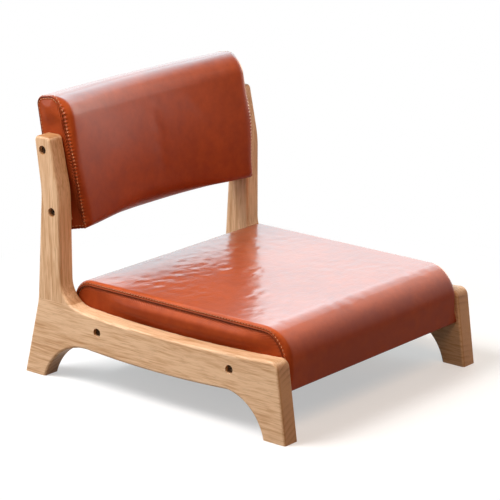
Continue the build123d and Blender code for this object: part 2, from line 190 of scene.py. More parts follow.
# %% Pale wood
def wood(name, along, pith, ring, light, dark, end_dark):
    """Timber whose grain runs along one axis, with rings of this width round the pith.

    Ring number = distance from the pith over the ring width, bent by slow noise; its fraction runs from
    pale early wood to darker late wood. Streaks, pores and fibres are noise drawn out 15 to 33 times along
    the grain.
    """
    material, wire, place = new_material(name)
    axis = "XYZ".index(along)

    stray = place.wandering(14.0, 0.005)

    def drawn_out(share):
        """The place with the grain direction shortened, so that a pattern grows long along it."""
        return stray.stretched(*[share if index == axis else 1.0 for index in range(3)])

    split = [wire.add("ShaderNodeSeparateXYZ", {}, {0: place}, output=index) for index in range(3)]
    first, second = (split[index] - pith[index] for index in range(3) if index != axis)
    sway = drawn_out(0.16).noise(9.0, 3.0) - 0.5
    distance = (first * first + second * second) ** 0.5 + sway * 0.036
    turn = distance / ring
    fraction = turn - turn.math("FLOOR", turn)
    clouds = drawn_out(0.16).noise(16.0, 2.0)
    late = fraction.between(0.25, 0.86) * (1 - fraction.between(0.88, 1.0)) * clouds.between(0.25, 0.75)
    streaks = drawn_out(0.065).noise(310.0, 2.0, 0.6).between(0.38, 0.72)
    fibres = drawn_out(0.03).noise(760.0, 2.0)
    pores = drawn_out(0.06).noise(820.0, 2.0, 0.55).between(0.58, 0.70) * (1 - 0.5 * late)
    normal = wire.add("ShaderNodeTexCoord", output="Normal")
    facing = wire.add("ShaderNodeSeparateXYZ", {}, {0: normal}, output=axis)
    end = facing.math("ABSOLUTE", facing).between(0.55, 0.95)
    tone = late * 0.26 + streaks * 0.44 + (fibres - 0.5) * 0.9 + (clouds - 0.5) * 0.7 + 0.14
    face_colour = tone.between(-0.1, 1.0).blend(light, dark)
    end_tone = late * 0.55 + (clouds - 0.5) * 0.6 + (fibres - 0.5) * 0.5 + 0.22
    end_colour = end_tone.between(0.0, 1.0).blend(dark, end_dark)
    pore_colour = tuple(0.70 * part for part in dark[:3]) + (1.0,)
    colour = (pores * 0.36).blend(end.blend(face_colour, end_colour), pore_colour)
    height = fibres * 0.35 - pores * 0.8 - streaks * 0.3
    return shade(material, wire, Base_Color=colour, Roughness=0.44 + fibres * 0.16,
                 Normal=bump(wire, height, 0.0002, 0.6), Specular_IOR_Level=0.45)


PALE, HONEY, END_GRAIN = (0.800, 0.535, 0.330, 1), (0.490, 0.248, 0.105, 1), (0.290, 0.118, 0.034, 1)
RING = 9.5 * MM
frame_wood = {
    "right_side_rail": wood("rail_wood_right", "Y", (-0.105, 0.0, -0.25), RING, PALE, HONEY, END_GRAIN),
    "left_side_rail": wood("rail_wood_left", "Y", (0.19, 0.0, -0.21), RING, PALE, HONEY, END_GRAIN),
    "right_back_post": wood("post_wood_right", "Z", (-0.33, 0.12, 0.0), RING, PALE, HONEY, END_GRAIN),
    "left_back_post": wood("post_wood_left", "Z", (0.26, 0.05, 0.0), RING, PALE, HONEY, END_GRAIN),
}


def dress(names, material):
    """Puts one material into every slot of these CAD nodes."""
    for name in names:
        for slot in nodes[name].material_slots:
            slot.material = material


for board, finish in frame_wood.items():
    dress([board], finish)
print("wood on", sorted(frame_wood))

# %% [markdown]
# ## Hidden timber and plywood
# The seat frame, its corner blocks and the dowels are plain softwood and beech, and the deck and the core of
# the back are plywood. They are only seen when the chair is taken apart, but they get a real finish too.


# %% Hidden timber and plywood
def plywood(name, layer_axis, layer):
    """Veneers of equal thickness along one axis, every other one darker, with fibres along X."""
    material, wire, place = new_material(name)
    height = wire.add("ShaderNodeSeparateXYZ", {}, {0: place}, output=layer_axis)
    fibres = place.stretched(0.04, 1.0, 1.0).noise(500.0, 3.0)
    wave = (height / layer).math("PINGPONG", height / layer, 1.0)
    colour = (wave.between(0.42, 0.58) * 0.6 + fibres * 0.5 - 0.1).blend(
        (0.66, 0.45, 0.26, 1), (0.40, 0.23, 0.11, 1))
    return shade(material, wire, Base_Color=colour, Roughness=0.6 + fibres * 0.15,
                 Normal=bump(wire, fibres, 0.00015, 0.4))


SOFT_PALE, SOFT_DARK = (0.74, 0.54, 0.33, 1), (0.55, 0.34, 0.17, 1)
SOFT_RING, BEECH_RING, VENEER = 4 * MM, 2.5 * MM, 1.5 * MM
softwood_across = wood("softwood_across", "X", (0, -0.1, 0.01), SOFT_RING, SOFT_PALE, SOFT_DARK, SOFT_DARK)
softwood_along = wood("softwood_along", "Y", (-0.2, 0, 0.01), SOFT_RING, SOFT_PALE, SOFT_DARK, SOFT_DARK)
beech = wood("dowel_beech", "Z", (-0.24, 0.2, 0), BEECH_RING, (0.66, 0.43, 0.27, 1), (0.50, 0.29, 0.16, 1),
             (0.36, 0.2, 0.11, 1))
dress(["seat_front_board", "seat_rear_board"], softwood_across)
dress(["seat_right_board", "seat_left_board", "seat_corner_blocks"], softwood_along)
dress(["right_post_dowels", "left_post_dowels"], beech)
dress(["seat_deck"], plywood("deck_plywood", 2, VENEER))
dress(["back_core"], plywood("core_plywood", 1, VENEER))

# %% [markdown]
# ## Bolts, inserts and screws
# The connector bolts have a dark bronze finish and lie at the bottom of round recesses. Inserts, screws and
# staples are plain zinc. Fine scratches in the roughness keep the metal from looking like plastic.


# %% Bolts, inserts and screws
def metal(name, colour, worn, roughness):
    """A plated metal, a little brighter where cloudy noise says it is rubbed."""
    material, wire, place = new_material(name)
    rubbing_and_painted_light = place.noise(420.0, 4.0, 0.65).between(0.45, 0.75)
    scratches = place.stretched(1.0, 0.08, 1.0).noise(2600.0, 2.0)
    return shade(material, wire, Base_Color=(rubbing_and_painted_light * 0.6).blend(colour, worn), Metallic=1.0,
                 Roughness=roughness + scratches * 0.22 - rubbing_and_painted_light * 0.08,
                 Normal=bump(wire, scratches, 0.00003, 0.5))


bronze = metal("dark_bronze", (0.085, 0.052, 0.030, 1), (0.21, 0.14, 0.085, 1), 0.34)
zinc = metal("zinc_plate", (0.50, 0.50, 0.48, 1), (0.66, 0.66, 0.64, 1), 0.30)
dress(["seat_bolts", "back_bolts"], bronze)
dress(["seat_insert_nuts", "back_insert_nuts", "seat_deck_screws"], zinc)

# %% [markdown]
# ## Leather
# A smooth, finished hide: a warm brown with cloudy depth, a fine pebble of pores, and a glossy top coat that
# stays smooth over them. Seat and back have a hide each. Both carry painted light: the seat is painted paler
# on its top and the back on its front, more so higher up, and the coat shows where the hide faces up and
# slants away from the eye. The seam attribute, worked out with the shape, paints shade into the fold of the
# seam.

# %% Leather
HIDE_DARK, HIDE_PALE = (0.255, 0.036, 0.0065, 1), (0.570, 0.104, 0.020, 1)
SEAM_SHADE_COLOUR = (0.030, 0.008, 0.004, 1)


def leather(name, tone, light_axis, light_low, light_high, rubbing_and_painted_light, slant_low, upward_low, polish):
    """Brown hide with a clear coat. The pebble is a cell pattern about a millimetre across.

    Painted light: the tone is lifted where the hide faces along the light axis, from the low height to the
    high one.
    The coat grows over the same heights, beyond slant_low to the eye and where the hide faces up more than
    upward_low. polish is the coat's roughness.
    """
    material, wire, place = new_material(name)
    seam_shade = wire.add("ShaderNodeAttribute", {"attribute_name": "seam_shade"}, output="Fac")
    clouds = place.noise(7.0, 3.0, 0.55)
    mottle = place.noise(55.0, 4.0, 0.6)
    cells = wire.add("ShaderNodeTexVoronoi", {"feature": "SMOOTH_F1"},
                     {"Vector": place, "Scale": 820.0, "Smoothness": 0.6})
    pits = place.noise(2300.0, 2.0)
    normal = wire.add("ShaderNodeTexCoord", output="Normal")
    upward = wire.add("ShaderNodeSeparateXYZ", {}, {0: normal}, output=2)
    facing = wire.add("ShaderNodeVectorMath", {"operation": "DOT_PRODUCT"}, {0: normal, 1: light_axis},
                      output="Value")
    height_share = wire.add("ShaderNodeSeparateXYZ", {}, {0: place}, output=2).between(light_low, light_high)
    # Painted light: the hide is painted paler where it faces along the axis, growing with height.
    wear_and_painted_lift = facing.between(0.25, 0.95) * height_share * rubbing_and_painted_light
    depth = (clouds - 0.5) * 0.6 + (mottle - 0.5) * 0.5 + wear_and_painted_lift + tone
    hide = depth.between(0.0, 1.0).blend(HIDE_DARK, HIDE_PALE)
    # Painted shade: the hide goes nearly black in the fold of the seam, where the seam attribute is high.
    colour = (seam_shade * 0.75).blend(hide, SEAM_SHADE_COLOUR)
    lines = place.wandering(30.0, 0.02).stretched(0.42, 1.0, 1.0).noise(64.0, 3.0, 0.6) - 0.5
    folds = lines.math("ABSOLUTE", lines).between(0.0, 0.07) * upward.between(0.90, 0.99)
    lumps = place.noise(150.0, 2.0)
    height = cells * 0.06 + pits * 0.025 + folds * 0.70 + lumps * 0.45
    slant = wire.add("ShaderNodeLayerWeight", {}, {"Blend": 0.5}, output="Facing")
    gloss = slant.between(slant_low, 0.70) * upward.between(upward_low, 0.36) * height_share * (1 - seam_shade)
    return shade(material, wire, Base_Color=colour, Roughness=0.42 + (mottle - 0.5) * 0.18 + seam_shade * 0.3,
                 Normal=bump(wire, height, 0.0006, 0.35), Specular_IOR_Level=0.09,
                 Coat_Weight=gloss, Coat_Roughness=polish, Coat_IOR=2.1)


# Painted light: the seat is painted paler on its top, the back on the upper part of its front.
seat_leather = leather("seat_leather", tone=0.16, light_axis=(0, 0, 1), light_low=0.115, light_high=0.155,
                       rubbing_and_painted_light=0.45, slant_low=0.21, upward_low=0.09, polish=0.19)
back_leather = leather("back_leather", tone=0.24, light_axis=(0, -1, 0), light_low=0.24, light_high=0.40,
                       rubbing_and_painted_light=0.32, slant_low=0.10, upward_low=0.05, polish=0.24)

# %% [markdown]
# ## How a pad is sewn
# Both pads are made alike: one long panel goes round front, top, rear and bottom, and a gusset closes each
# end. The panel is a grid: its rows follow the outline of the section, and its columns run across the pad
# and roll over at both ends to meet the gusset. The gusset is a second grid, from the seam in to a pole.

# %% Outlines
ARC_STEP = 1.6 * MM
FULL_TUCK = 3 * MM
BLEND_START, BLEND_STOP = 170 * MM, 6 * MM


def bell(distance, width):
    """A bell curve that is 1 at 0."""
    return np.exp(-((distance / width) ** 2))


def smooth_step(value, low, high):
    """0 below low, 1 above high, smooth between."""
    share = np.clip((value - low) / (high - low), 0.0, 1.0)
    return share * share * (3 - 2 * share)


def rounded_loop(corners, radii, spacings):
    """A closed outline with round corners: its points and their outward normals.

    Each corner is cut back by its radius times the tangent of half its turn and bridged by an arc. Each
    spacing is the step along the straight run that follows that corner.
    """
    corners = [np.array(corner, float) for corner in corners]
    points, outward = [], []
    for index, corner in enumerate(corners):
        coming = corner - corners[index - 1]
        going = corners[(index + 1) % len(corners)] - corner
        coming, going = coming / np.linalg.norm(coming), going / np.linalg.norm(going)
        turn = math.acos(float(coming @ going))
        start_normal = np.array((-coming[1], coming[0]))
        centre = corner - coming * radii[index] * math.tan(turn / 2) - start_normal * radii[index]
        angles = np.linspace(0.0, turn, max(4, int(radii[index] * turn / ARC_STEP) + 2))[:, None]
        normals = start_normal * np.cos(angles) + coming * np.sin(angles)
        points.append(centre + normals * radii[index])
        outward.append(normals)
    for index in reversed(range(len(corners))):
        start, end = points[index][-1], points[(index + 1) % len(corners)][0]
        steps = max(2, int(np.linalg.norm(end - start) / spacings[index]))
        share = np.linspace(0.0, 1.0, steps + 1)[1:-1, None]
        points.insert(index + 1, start + (end - start) * share)
        outward.insert(index + 1, np.repeat(outward[index][-1:], len(share), axis=0))
    return np.concatenate(points), np.concatenate(outward)


def spaced_evenly(loop, outward, count):
    """The same outline read at equal steps, with as many points as wanted."""
    closed = np.concatenate([loop, loop[:1]])
    length = np.concatenate([[0.0], np.cumsum(np.linalg.norm(np.diff(closed, axis=0), axis=1))])
    places = np.linspace(0.0, length[-1], count, endpoint=False)
    turned = np.concatenate([outward, outward[:1]])
    even = [np.stack([np.interp(places, length, part[:, axis]) for axis in range(2)], axis=1)
            for part in (closed, turned)]
    return even[0], even[1] / np.linalg.norm(even[1], axis=1, keepdims=True)


def across_columns(flat_steps, roll_steps, drop_steps, drop):
    """Columns from one seam to the other: share of the flat, angle on the rolled edge, run down the side."""
    flat = np.linspace(0.0, 1.0, flat_steps, endpoint=False)
    rise = 1 - (1 - np.linspace(0.0, 1.0, roll_steps)) ** 1.7
    down = np.linspace(0.0, drop, drop_steps + 1)[1:]
    share = np.concatenate([flat, np.ones(roll_steps + drop_steps)])
    angle = np.concatenate([np.zeros(flat_steps), rise * math.pi / 2, np.full(drop_steps, math.pi / 2)])
    run = np.concatenate([np.zeros(flat_steps + roll_steps), down])
    sign = np.concatenate([-np.ones(len(share) - 1), np.ones(len(share))])
    both = [np.concatenate([part[:0:-1], part]) for part in (share, angle, run)]
    return sign, *both


def panel_grid(loop, end_loop, outward, half, tuck, roll, columns):
    """Panel points (across, then the two section axes), rows along the loop and columns across.

    The section goes over from loop in the middle to end_loop at the gussets. The rolled edge is a quarter
    ellipse, roll wide and tuck deep. Half the width, tuck and roll each have a value for every row.
    """
    sign, share, angle, run = columns
    half, tuck, roll = half[:, None], tuck[:, None], roll[:, None]
    across = sign * (share * (half - roll) + roll * np.sin(angle))
    drawn_in = tuck * (1 - np.cos(angle)) + run * np.minimum(tuck / FULL_TUCK, 1.0)
    ends = smooth_step(np.abs(across), half - BLEND_START, half - BLEND_STOP)[..., None]
    section = loop[:, None, :] * (1 - ends) + end_loop[:, None, :] * ends
    return np.concatenate([across[..., None], section - outward[:, None, :] * drawn_in[..., None]], axis=2)


# %% Surface measures
def grid_normals(points):
    """Unit normals of a grid whose last row joins its first: the cross product of its steps."""
    along = np.roll(points, -1, axis=0) - np.roll(points, 1, axis=0)
    across = np.gradient(points, axis=1)
    normal = np.cross(along, across)
    return normal / np.maximum(np.linalg.norm(normal, axis=2, keepdims=True), 1e-12)


def from_first_column(points):
    """Length over the surface from each row's first point."""
    steps = np.linalg.norm(np.diff(points, axis=1), axis=2)
    return np.concatenate([np.zeros((len(points), 1)), np.cumsum(steps, axis=1)], axis=1)


def to_nearest_edge(points):
    """Length over the panel from each point to the nearer of its two gussets."""
    length = from_first_column(points)
    return np.minimum(length, length[:, -1:] - length)


# %% [markdown]
# ## Stuffing
# A pad is tight because foam pushes from inside. Cloth simulation gives that swell: a coarse copy of the
# panel is held at its seams and blown up a little. Only its smooth swell is kept, spread over the fine grid
# with B-spline weights, so the sewn edges stay sharp.

# %% Stuffing
PRESSURE = 4.0
FRAMES = 20
ROW_STEP, COARSE_COLUMNS = 6, 61
HELD_BAND = 7 * MM


def tube_faces(rows, columns):
    """Four corners of each face of a grid whose last row joins its first."""
    row, column = np.meshgrid(np.arange(rows), np.arange(columns - 1), indexing="ij")
    after = (row + 1) % rows
    here = row * columns + column
    there = after * columns + column
    corners = [here, here + 1, there + 1, there]
    return np.stack(corners, axis=2).reshape(-1, 4)


def spline_weights(count, places, closed):
    """Rows of cubic B-spline weights that read a list of count values at these places, in steps."""
    base = np.floor(places).astype(int)
    rest = places - base
    pieces = [(1 - rest) ** 3,
              3 * rest**3 - 6 * rest**2 + 4,
              -3 * rest**3 + 3 * rest**2 + 3 * rest + 1,
              rest**3]
    weights = np.zeros((len(places), count))
    for offset, part in zip((-1, 0, 1, 2), pieces):
        index = (base + offset) % count if closed else np.clip(base + offset, 0, count - 1)
        np.add.at(weights, (np.arange(len(places)), index), part / 6)
    return weights


def swell(points, held, most):
    """How far each point of a panel moves when it is blown up, scaled so that none moves more than most."""
    rows = np.arange(0, len(points), ROW_STEP)
    column_picks = np.unique(np.linspace(0, points.shape[1] - 1, COARSE_COLUMNS).astype(int))
    coarse = points[rows][:, column_picks]
    mesh = bpy.data.meshes.new("panel_blank")
    mesh.from_pydata(coarse.reshape(-1, 3).tolist(), [], tube_faces(*coarse.shape[:2]).tolist())
    blank = bpy.data.objects.new("panel_blank", mesh)
    bpy.context.scene.collection.objects.link(blank)
    pins = blank.vertex_groups.new(name="sewn_down")
    pins.add(np.flatnonzero(held[rows][:, column_picks]).tolist(), 1.0, "REPLACE")
    cloth = blank.modifiers.new("cloth", "CLOTH").settings
    cloth.vertex_group_mass = "sewn_down"
    cloth.use_pressure = True
    cloth.uniform_pressure_force = PRESSURE
    cloth.effector_weights.gravity = 0.0
    for number in range(1, FRAMES + 1):
        bpy.context.scene.frame_set(number)
    settled = blank.evaluated_get(bpy.context.evaluated_depsgraph_get()).data
    places = np.empty(coarse.size)
    settled.vertices.foreach_get("co", places)
    moved = places.reshape(coarse.shape) - coarse
    bpy.context.scene.frame_set(1)
    bpy.data.objects.remove(blank)
    bpy.data.meshes.remove(mesh)
    reach = np.linalg.norm(moved, axis=2).max()
    print("the cloth moved up to", round(reach / MM, 2), "mm, kept to", round(most / MM, 2))
    along = spline_weights(len(rows), np.arange(len(points)) / ROW_STEP, True)
    across_places = np.interp(np.arange(points.shape[1]), column_picks, np.arange(len(column_picks)))
    across = spline_weights(len(column_picks), across_places, False)
    spread = np.einsum("ri,ijk,cj->rck", along, moved, across)
    return spread * min(1.0, most / reach)


# %% [markdown]
# ## Gussets, seams and stitches
# A gusset starts at the panel's last column, down in the seam, rises out of it and runs to a pole in its
# middle. Two rows of stitches hold the seam flat, one on the panel and one on the gusset. A stitch is one
# small bead of thread, copied to every place along the row at once.

# %% Gussets
SEAM_DEPTH, SEAM_WIDTH, SEAM_SHADE = 1.6 * MM, 1.1 * MM, 1.4 * MM
STITCH_LINE, CHANNEL_DEPTH, CHANNEL_WIDTH = 4.2 * MM, 0.45 * MM, 1.1 * MM
PUCKER_LINE, PUCKER_WIDTH = 3.5 * MM, 3 * MM
GUSSET_STEPS, LEAST_SEWN = 30, 0.3
STITCH_PITCH, STITCH_LENGTH, STITCH_WIDTH = 5.6 * MM, 3.5 * MM, 1.2 * MM


def seam_relief(distance):
    """Height near a seam: down into the seam itself, and a shallow channel under each row of stitches."""
    channels = bell(np.abs(distance) - STITCH_LINE, CHANNEL_WIDTH)
    return -SEAM_DEPTH * bell(distance, SEAM_WIDTH) - CHANNEL_DEPTH * channels


def puckers(edge, depth):
    """Gathers 1 high that the stitches pull into the hide: a wave along the edge, strongest beside them."""
    steps = np.linalg.norm(np.diff(edge, axis=0, append=edge[:1]), axis=1)
    turns = np.round(steps.sum() / STITCH_PITCH) * np.cumsum(steps) / steps.sum()
    return np.cos(2 * math.pi * turns)[:, None] * bell(depth - PUCKER_LINE, PUCKER_WIDTH)


def gusset_grid(edge, pole, steps):
    """Section points from the seam edge in to the pole, and how far each is from the nearest seam point."""
    share = np.linspace(0.0, 1.0, steps)[None, :, None] ** 2
    points = edge[:, None, :] * (1 - share) + np.array(pole) * share
    flat = points.reshape(-1, 2)
    apart = np.sum(flat**2, axis=1)[:, None] + np.sum(edge**2, axis=1) - 2 * flat @ edge.T
    return points, np.sqrt(np.maximum(apart.min(axis=1), 0.0)).reshape(points.shape[:2])


# %% Stitches
BEAD_RINGS, BEAD_SIDES = 7, 6
LOOK_AHEAD = 0.5 * MM


def bead(length, width):
    """A short bead of thread or wire: a tube along X, whose thinner, lower ends sink into what it holds."""
    along = np.linspace(-1.0, 1.0, BEAD_RINGS)[:, None]
    turn = np.linspace(0.0, 2 * math.pi, BEAD_SIDES, endpoint=False)[None, :]
    thick = np.sqrt(np.maximum(1 - 0.92 * along**4, 0.0))
    x = along * length / 2 + 0 * turn
    y = thick * np.cos(turn) * width / 2
    z = thick * np.sin(turn) * width / 2 + (0.30 - 0.55 * along**2) * width
    return np.stack([x, y, z], axis=2).reshape(-1, 3)


def bead_faces(rings, sides):
    """Faces of a closed tube of rings, with one face to close each end."""
    ring, side = np.meshgrid(np.arange(rings - 1), np.arange(sides), indexing="ij")
    after = (side + 1) % sides
    low = ring * sides
    high = low + sides
    corners = [low + side, low + after, high + after, high + side]
    faces = np.stack(corners, axis=2).reshape(-1, 4).tolist()
    return faces + [list(range(sides))[::-1], [(rings - 1) * sides + side for side in range(sides)]]


def set_beads(shape, centre, along, out):
    """One bead at each centre, with X along and Z out: the points of all of them, and their number."""
    along = along / np.linalg.norm(along, axis=1, keepdims=True)
    side = np.cross(out, along)
    side /= np.linalg.norm(side, axis=1, keepdims=True)
    axes = np.stack([along, side, np.cross(along, side)], axis=1)
    points = centre[:, None, :] + np.einsum("vk,nkd->nvd", shape, axes)
    return points.reshape(-1, 3), len(centre)


def stitch_row(line, normals):
    """Stitches at even steps along a line of points that has a normal at each point."""
    length = np.concatenate([[0.0], np.cumsum(np.linalg.norm(np.diff(line, axis=0), axis=1))])
    places = np.arange(STITCH_PITCH, length[-1] - STITCH_PITCH, STITCH_PITCH)
    read = [np.stack([np.interp(places + shift, length, part[:, axis]) for axis in range(3)], axis=1)
            for part, shift in ((line, 0.0), (line, LOOK_AHEAD), (line, -LOOK_AHEAD), (normals, 0.0))]
    centre, ahead, behind, out = read
    return set_beads(bead(STITCH_LENGTH, STITCH_WIDTH), centre, ahead - behind, out)


def line_at(points, length, distance):
    """The point of each row at this length from its first column."""
    after = np.argmax(length >= distance, axis=1)
    row = np.arange(len(points))
    low, high = length[row, after - 1], length[row, after]
    share = ((distance - low) / (high - low))[:, None]
    return points[row, after - 1] * (1 - share) + points[row, after] * share


# %% Meshes
def add_piece(name, points, faces, material, smooth=True):
    """A mesh object from arrays, whose points already lie in the frame."""
    mesh = bpy.data.meshes.new(name)
    mesh.from_pydata(np.asarray(points).tolist(), [], faces)
    mesh.polygons.foreach_set("use_smooth", np.full(len(mesh.polygons), smooth))
    mesh.materials.append(material)
    piece = bpy.data.objects.new(name, mesh)
    bpy.context.scene.collection.objects.link(piece)
    return piece


def add_beads(name, rows, material):
    """All rows of beads as one piece."""
    faces = bead_faces(BEAD_RINGS, BEAD_SIDES)
    count = sum(row[1] for row in rows)
    points = np.concatenate([row[0] for row in rows])
    size = len(points) // count
    every = [[corner + size * index for corner in face] for index in range(count) for face in faces]
    piece = add_piece(name, points, every, material)
    print(name, "has", count, "beads")
    return piece


def add_attribute(piece, name, values):
    """A number for each vertex that a material can read."""
    piece.data.attributes.new(name, "FLOAT", "POINT").data.foreach_set("value", values.astype(np.float32))


def sew_pad(name, panel, panel_seam_shade, gussets, hide):
    """One closed piece from the panel and its two gussets, which share its first and last columns."""
    rows, columns = panel.shape[:2]
    points, seam_shades = [panel.reshape(-1, 3)], [panel_seam_shade.ravel()]
    faces = tube_faces(rows, columns).tolist()
    start = rows * columns
    for (grid, seam_shade), column, flip in zip(gussets, (0, columns - 1), (True, False)):
        steps = grid.shape[1]
        index = np.empty((rows, steps), int)
        index[:, 0] = np.arange(rows) * columns + column
        index[:, 1:-1] = start + np.arange(rows * (steps - 2)).reshape(rows, steps - 2)
        index[:, -1] = start + rows * (steps - 2)
        points += [grid[:, 1:-1].reshape(-1, 3), grid[:1, -1]]
        seam_shades += [seam_shade[:, 1:-1].ravel(), seam_shade[:1, -1]]
        following = np.roll(index, -1, axis=0)
        corners = [index[:, :-2], index[:, 1:-1], following[:, 1:-1], following[:, :-2]]
        quads = np.stack(corners, axis=2).reshape(-1, 4)
        tips = np.stack([index[:, -2], index[:, -1], following[:, -2]], axis=1)
        if flip:
            quads, tips = quads[:, ::-1], tips[:, ::-1]
        faces += quads.tolist() + tips.tolist()
        start += rows * (steps - 2) + 1
    piece = add_piece(name, np.concatenate(points), faces, hide)
    # The seam attribute holds the painted shade along each seam.
    add_attribute(piece, "seam_shade", np.concatenate(seam_shades))
    print(name, "has", len(piece.data.vertices), "points and", len(piece.data.polygons), "faces")
    return piece


# %% [markdown]
# ## Thread
# The thread is a shade lighter than the leather, twisted from two plies. The twist is a slanted wave.


# %% Thread
def thread_finish():
    """Waxed thread: slanted plies as a fine wave along and across the bead."""
    material, wire, place = new_material("waxed_thread")
    plies = wire.add("ShaderNodeTexWave", {"bands_direction": "DIAGONAL"}, {"Vector": place, "Scale": 900.0})
    soft = place.noise(300.0, 2.0)
    colour = (plies * 0.6 + soft * 0.4).blend((0.42, 0.165, 0.07, 1), (0.70, 0.40, 0.22, 1))
    return shade(material, wire, Base_Color=colour, Roughness=0.55 + soft * 0.15,
                 Normal=bump(wire, plies, 0.0001, 0.5), Specular_IOR_Level=0.12)


thread = thread_finish()

# %% [markdown]
# ## One pad from its parts
# Seat and back differ in outline, wear and hide, but one function sews both. It swells the panel, presses
# the seams into it, adds a gusset at each end and lays the stitches on both sides of each seam.


# %% One pad
def make_pad(name, flat, to_space, pole, half, sewn, held, most, puff, wear_and_painted_lift, pucker, hide):
    """A sewn pad. The panel grid flat is in section axes, and to_space carries it to its place.

    half and puff give the gusset's place and swell from its section points, sewn is each row's share of a
    full seam, and held marks rows that are nailed down. most limits the swell, wear is the panel's own
    relief and pucker the height of the gathers.
    """
    grid = to_space(flat)
    from_seam = to_nearest_edge(grid)
    sewn = sewn[:, None]
    panel = grid + swell(grid, held | (from_seam < HELD_BAND), most)
    gathers = pucker * puckers(flat[:, 0, 1:], from_seam)
    relief = (seam_relief(from_seam) + gathers) * sewn + wear_and_painted_lift(panel, from_seam)
    panel = panel + grid_normals(panel) * relief[..., None]
    gussets, rows = [], []
    shown = np.flatnonzero(sewn > LEAST_SEWN)
    for side, column in ((-1, 0), (1, -1)):
        edge = flat[:, column, 1:]
        section, depth = gusset_grid(edge, pole, GUSSET_STEPS)
        gathers = pucker * puckers(edge, depth)
        out = half(section) + puff(section, depth) + (seam_relief(depth) + gathers) * sewn
        gusset = to_space(np.concatenate([side * out[..., None], section], axis=2))
        gusset[:, 0] = panel[:, column]
        # The gusset's painted seam shade: a bell across its seam.
        gussets.append((gusset, bell(depth, SEAM_SHADE) * sewn))
        for surface, turn in ((panel[:, ::-side], -side), (gusset, side)):
            length = from_first_column(surface)
            normal = turn * grid_normals(surface)
            line = line_at(surface, length, STITCH_LINE)
            rows.append(stitch_row(line[shown], line_at(normal, length, STITCH_LINE)[shown]))
    # The panel's painted seam shade: a bell across each seam.
    pad = sew_pad(name + "_cushion", panel, bell(from_seam, SEAM_SHADE) * sewn, gussets, hide)
    return pad, add_beads(name + "_stitches", rows, thread)


# %% [markdown]
# ## Seat
# The seat has a flat top with a waterfall front, so that no edge cuts into the legs. Sitting has left soft
# ripples in the hide: a sum of random waves, stronger in some patches, with finer valleys where other waves
# cross zero. The finest fold lines are left to the bump in the finish.

# %% Seat
seat_low, seat_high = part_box("seat_cover_panel")
SEAT_HALF = seat_high.x
SEAT_CROWN, SEAT_TUCK, SEAT_DROP = 2.5 * MM, 5.5 * MM, 2.0 * MM
SEAT_SWELL = 2.2 * MM
SEAT_PUFF = 8.5 * MM
SEAT_PUCKER = 0.35 * MM
SEAT_ROUNDS = [3.5 * MM, 50 * MM, 34 * MM, 3.5 * MM]
RAIL_LOW, RAIL_HIGH = 116.5 * MM, 125 * MM
RIPPLE, PATCH_RIPPLE, VALLEY = 0.035, 0.08, 0.13  # heights in millimetres
front, rear, bottom, top = seat_low.y, seat_high.y, seat_low.z, seat_high.z - SEAT_CROWN
seat_corners = [(front, bottom), (front, top), (rear, top), (rear, bottom)]
seat_spacings = [1.6 * MM, 1.4 * MM, 1.6 * MM, 8 * MM]
seat_loop, seat_outward = rounded_loop(seat_corners, SEAT_ROUNDS, seat_spacings)
seat_sewn = smooth_step(seat_loop[:, 1], bottom + 2 * MM, bottom + 22 * MM)


def random_waves(x, y, count, short, long, spread, seed):
    """Sum of waves of random length and phase that run mostly front to back, about 1 high."""
    pick = np.random.default_rng(seed)
    length = pick.uniform(short, long, count)
    heading = pick.normal(math.pi / 2 - 0.22, spread, count)
    phase = pick.uniform(0, 2 * math.pi, count)
    run = x[..., None] * np.cos(heading) + y[..., None] * np.sin(heading)
    return np.cos(2 * math.pi * run / length + phase).sum(axis=-1) / math.sqrt(count / 2)


def sitting_wear(panel, from_seam):
    """Ripples on the seat's top, with finer valleys where random waves cross zero, fading to its edges."""
    x, y = panel[..., 0], panel[..., 1]
    on_top = smooth_step(seat_outward[:, 1], 0.75, 0.99)[:, None] * smooth_step(from_seam, 8 * MM, 45 * MM)
    slow = random_waves(x, y, count=8, short=0.09, long=0.22, spread=1.2, seed=3)
    patches = smooth_step(slow, -1.0, 0.7)
    creases = random_waves(x, y, count=30, short=0.013, long=0.032, spread=0.75, seed=5)
    valleys = bell(creases, 0.5) * patches
    ripples = random_waves(x, y, count=40, short=0.017, long=0.034, spread=1.1, seed=9)
    return ((RIPPLE + PATCH_RIPPLE * patches) * MM * ripples - VALLEY * MM * valleys) * on_top


def seat_half(section):
    """Half the width of the seat, the same all over."""
    return np.full(section.shape[:-1], SEAT_HALF)


def seat_puff(section, depth):
    """The gusset swells out over the rail's dished top, but not beside the post."""
    y, z = section[..., 0], section[..., 1]
    dish = (y - (front + rear) / 2) / ((rear - front) / 2)
    above = z - RAIL_LOW - (RAIL_HIGH - RAIL_LOW) * dish**2
    near_post = smooth_step(y, rear - 150 * MM, rear - 42 * MM)
    clear = smooth_step(y, front + 2 * MM, front + 110 * MM) * (1 - near_post)
    return SEAT_PUFF * smooth_step(above, -1 * MM, 15 * MM) * clear * smooth_step(depth, 1 * MM, 16 * MM)


seat_pole = ((front + rear) / 2, bottom + 30 * MM)
seat_columns = across_columns(flat_steps=50, roll_steps=18, drop_steps=5, drop=SEAT_DROP)
seat_tuck = (SEAT_TUCK + 3.5 * MM * smooth_step(-seat_outward[:, 0], 0.2, 0.9)) * (0.02 + 0.98 * seat_sewn)
seat_flat = panel_grid(seat_loop, seat_loop, seat_outward, seat_half(seat_loop), seat_tuck,
                       np.maximum(seat_tuck, SEAT_TUCK), seat_columns)
seat_held = (seat_loop[:, 1] < bottom + 4 * MM)[:, None]
seat_cushion, seat_stitches = make_pad(
    "seat", seat_flat, np.array, seat_pole, seat_half,
    seat_sewn, seat_held, SEAT_SWELL, seat_puff, sitting_wear, SEAT_PUCKER, seat_leather)

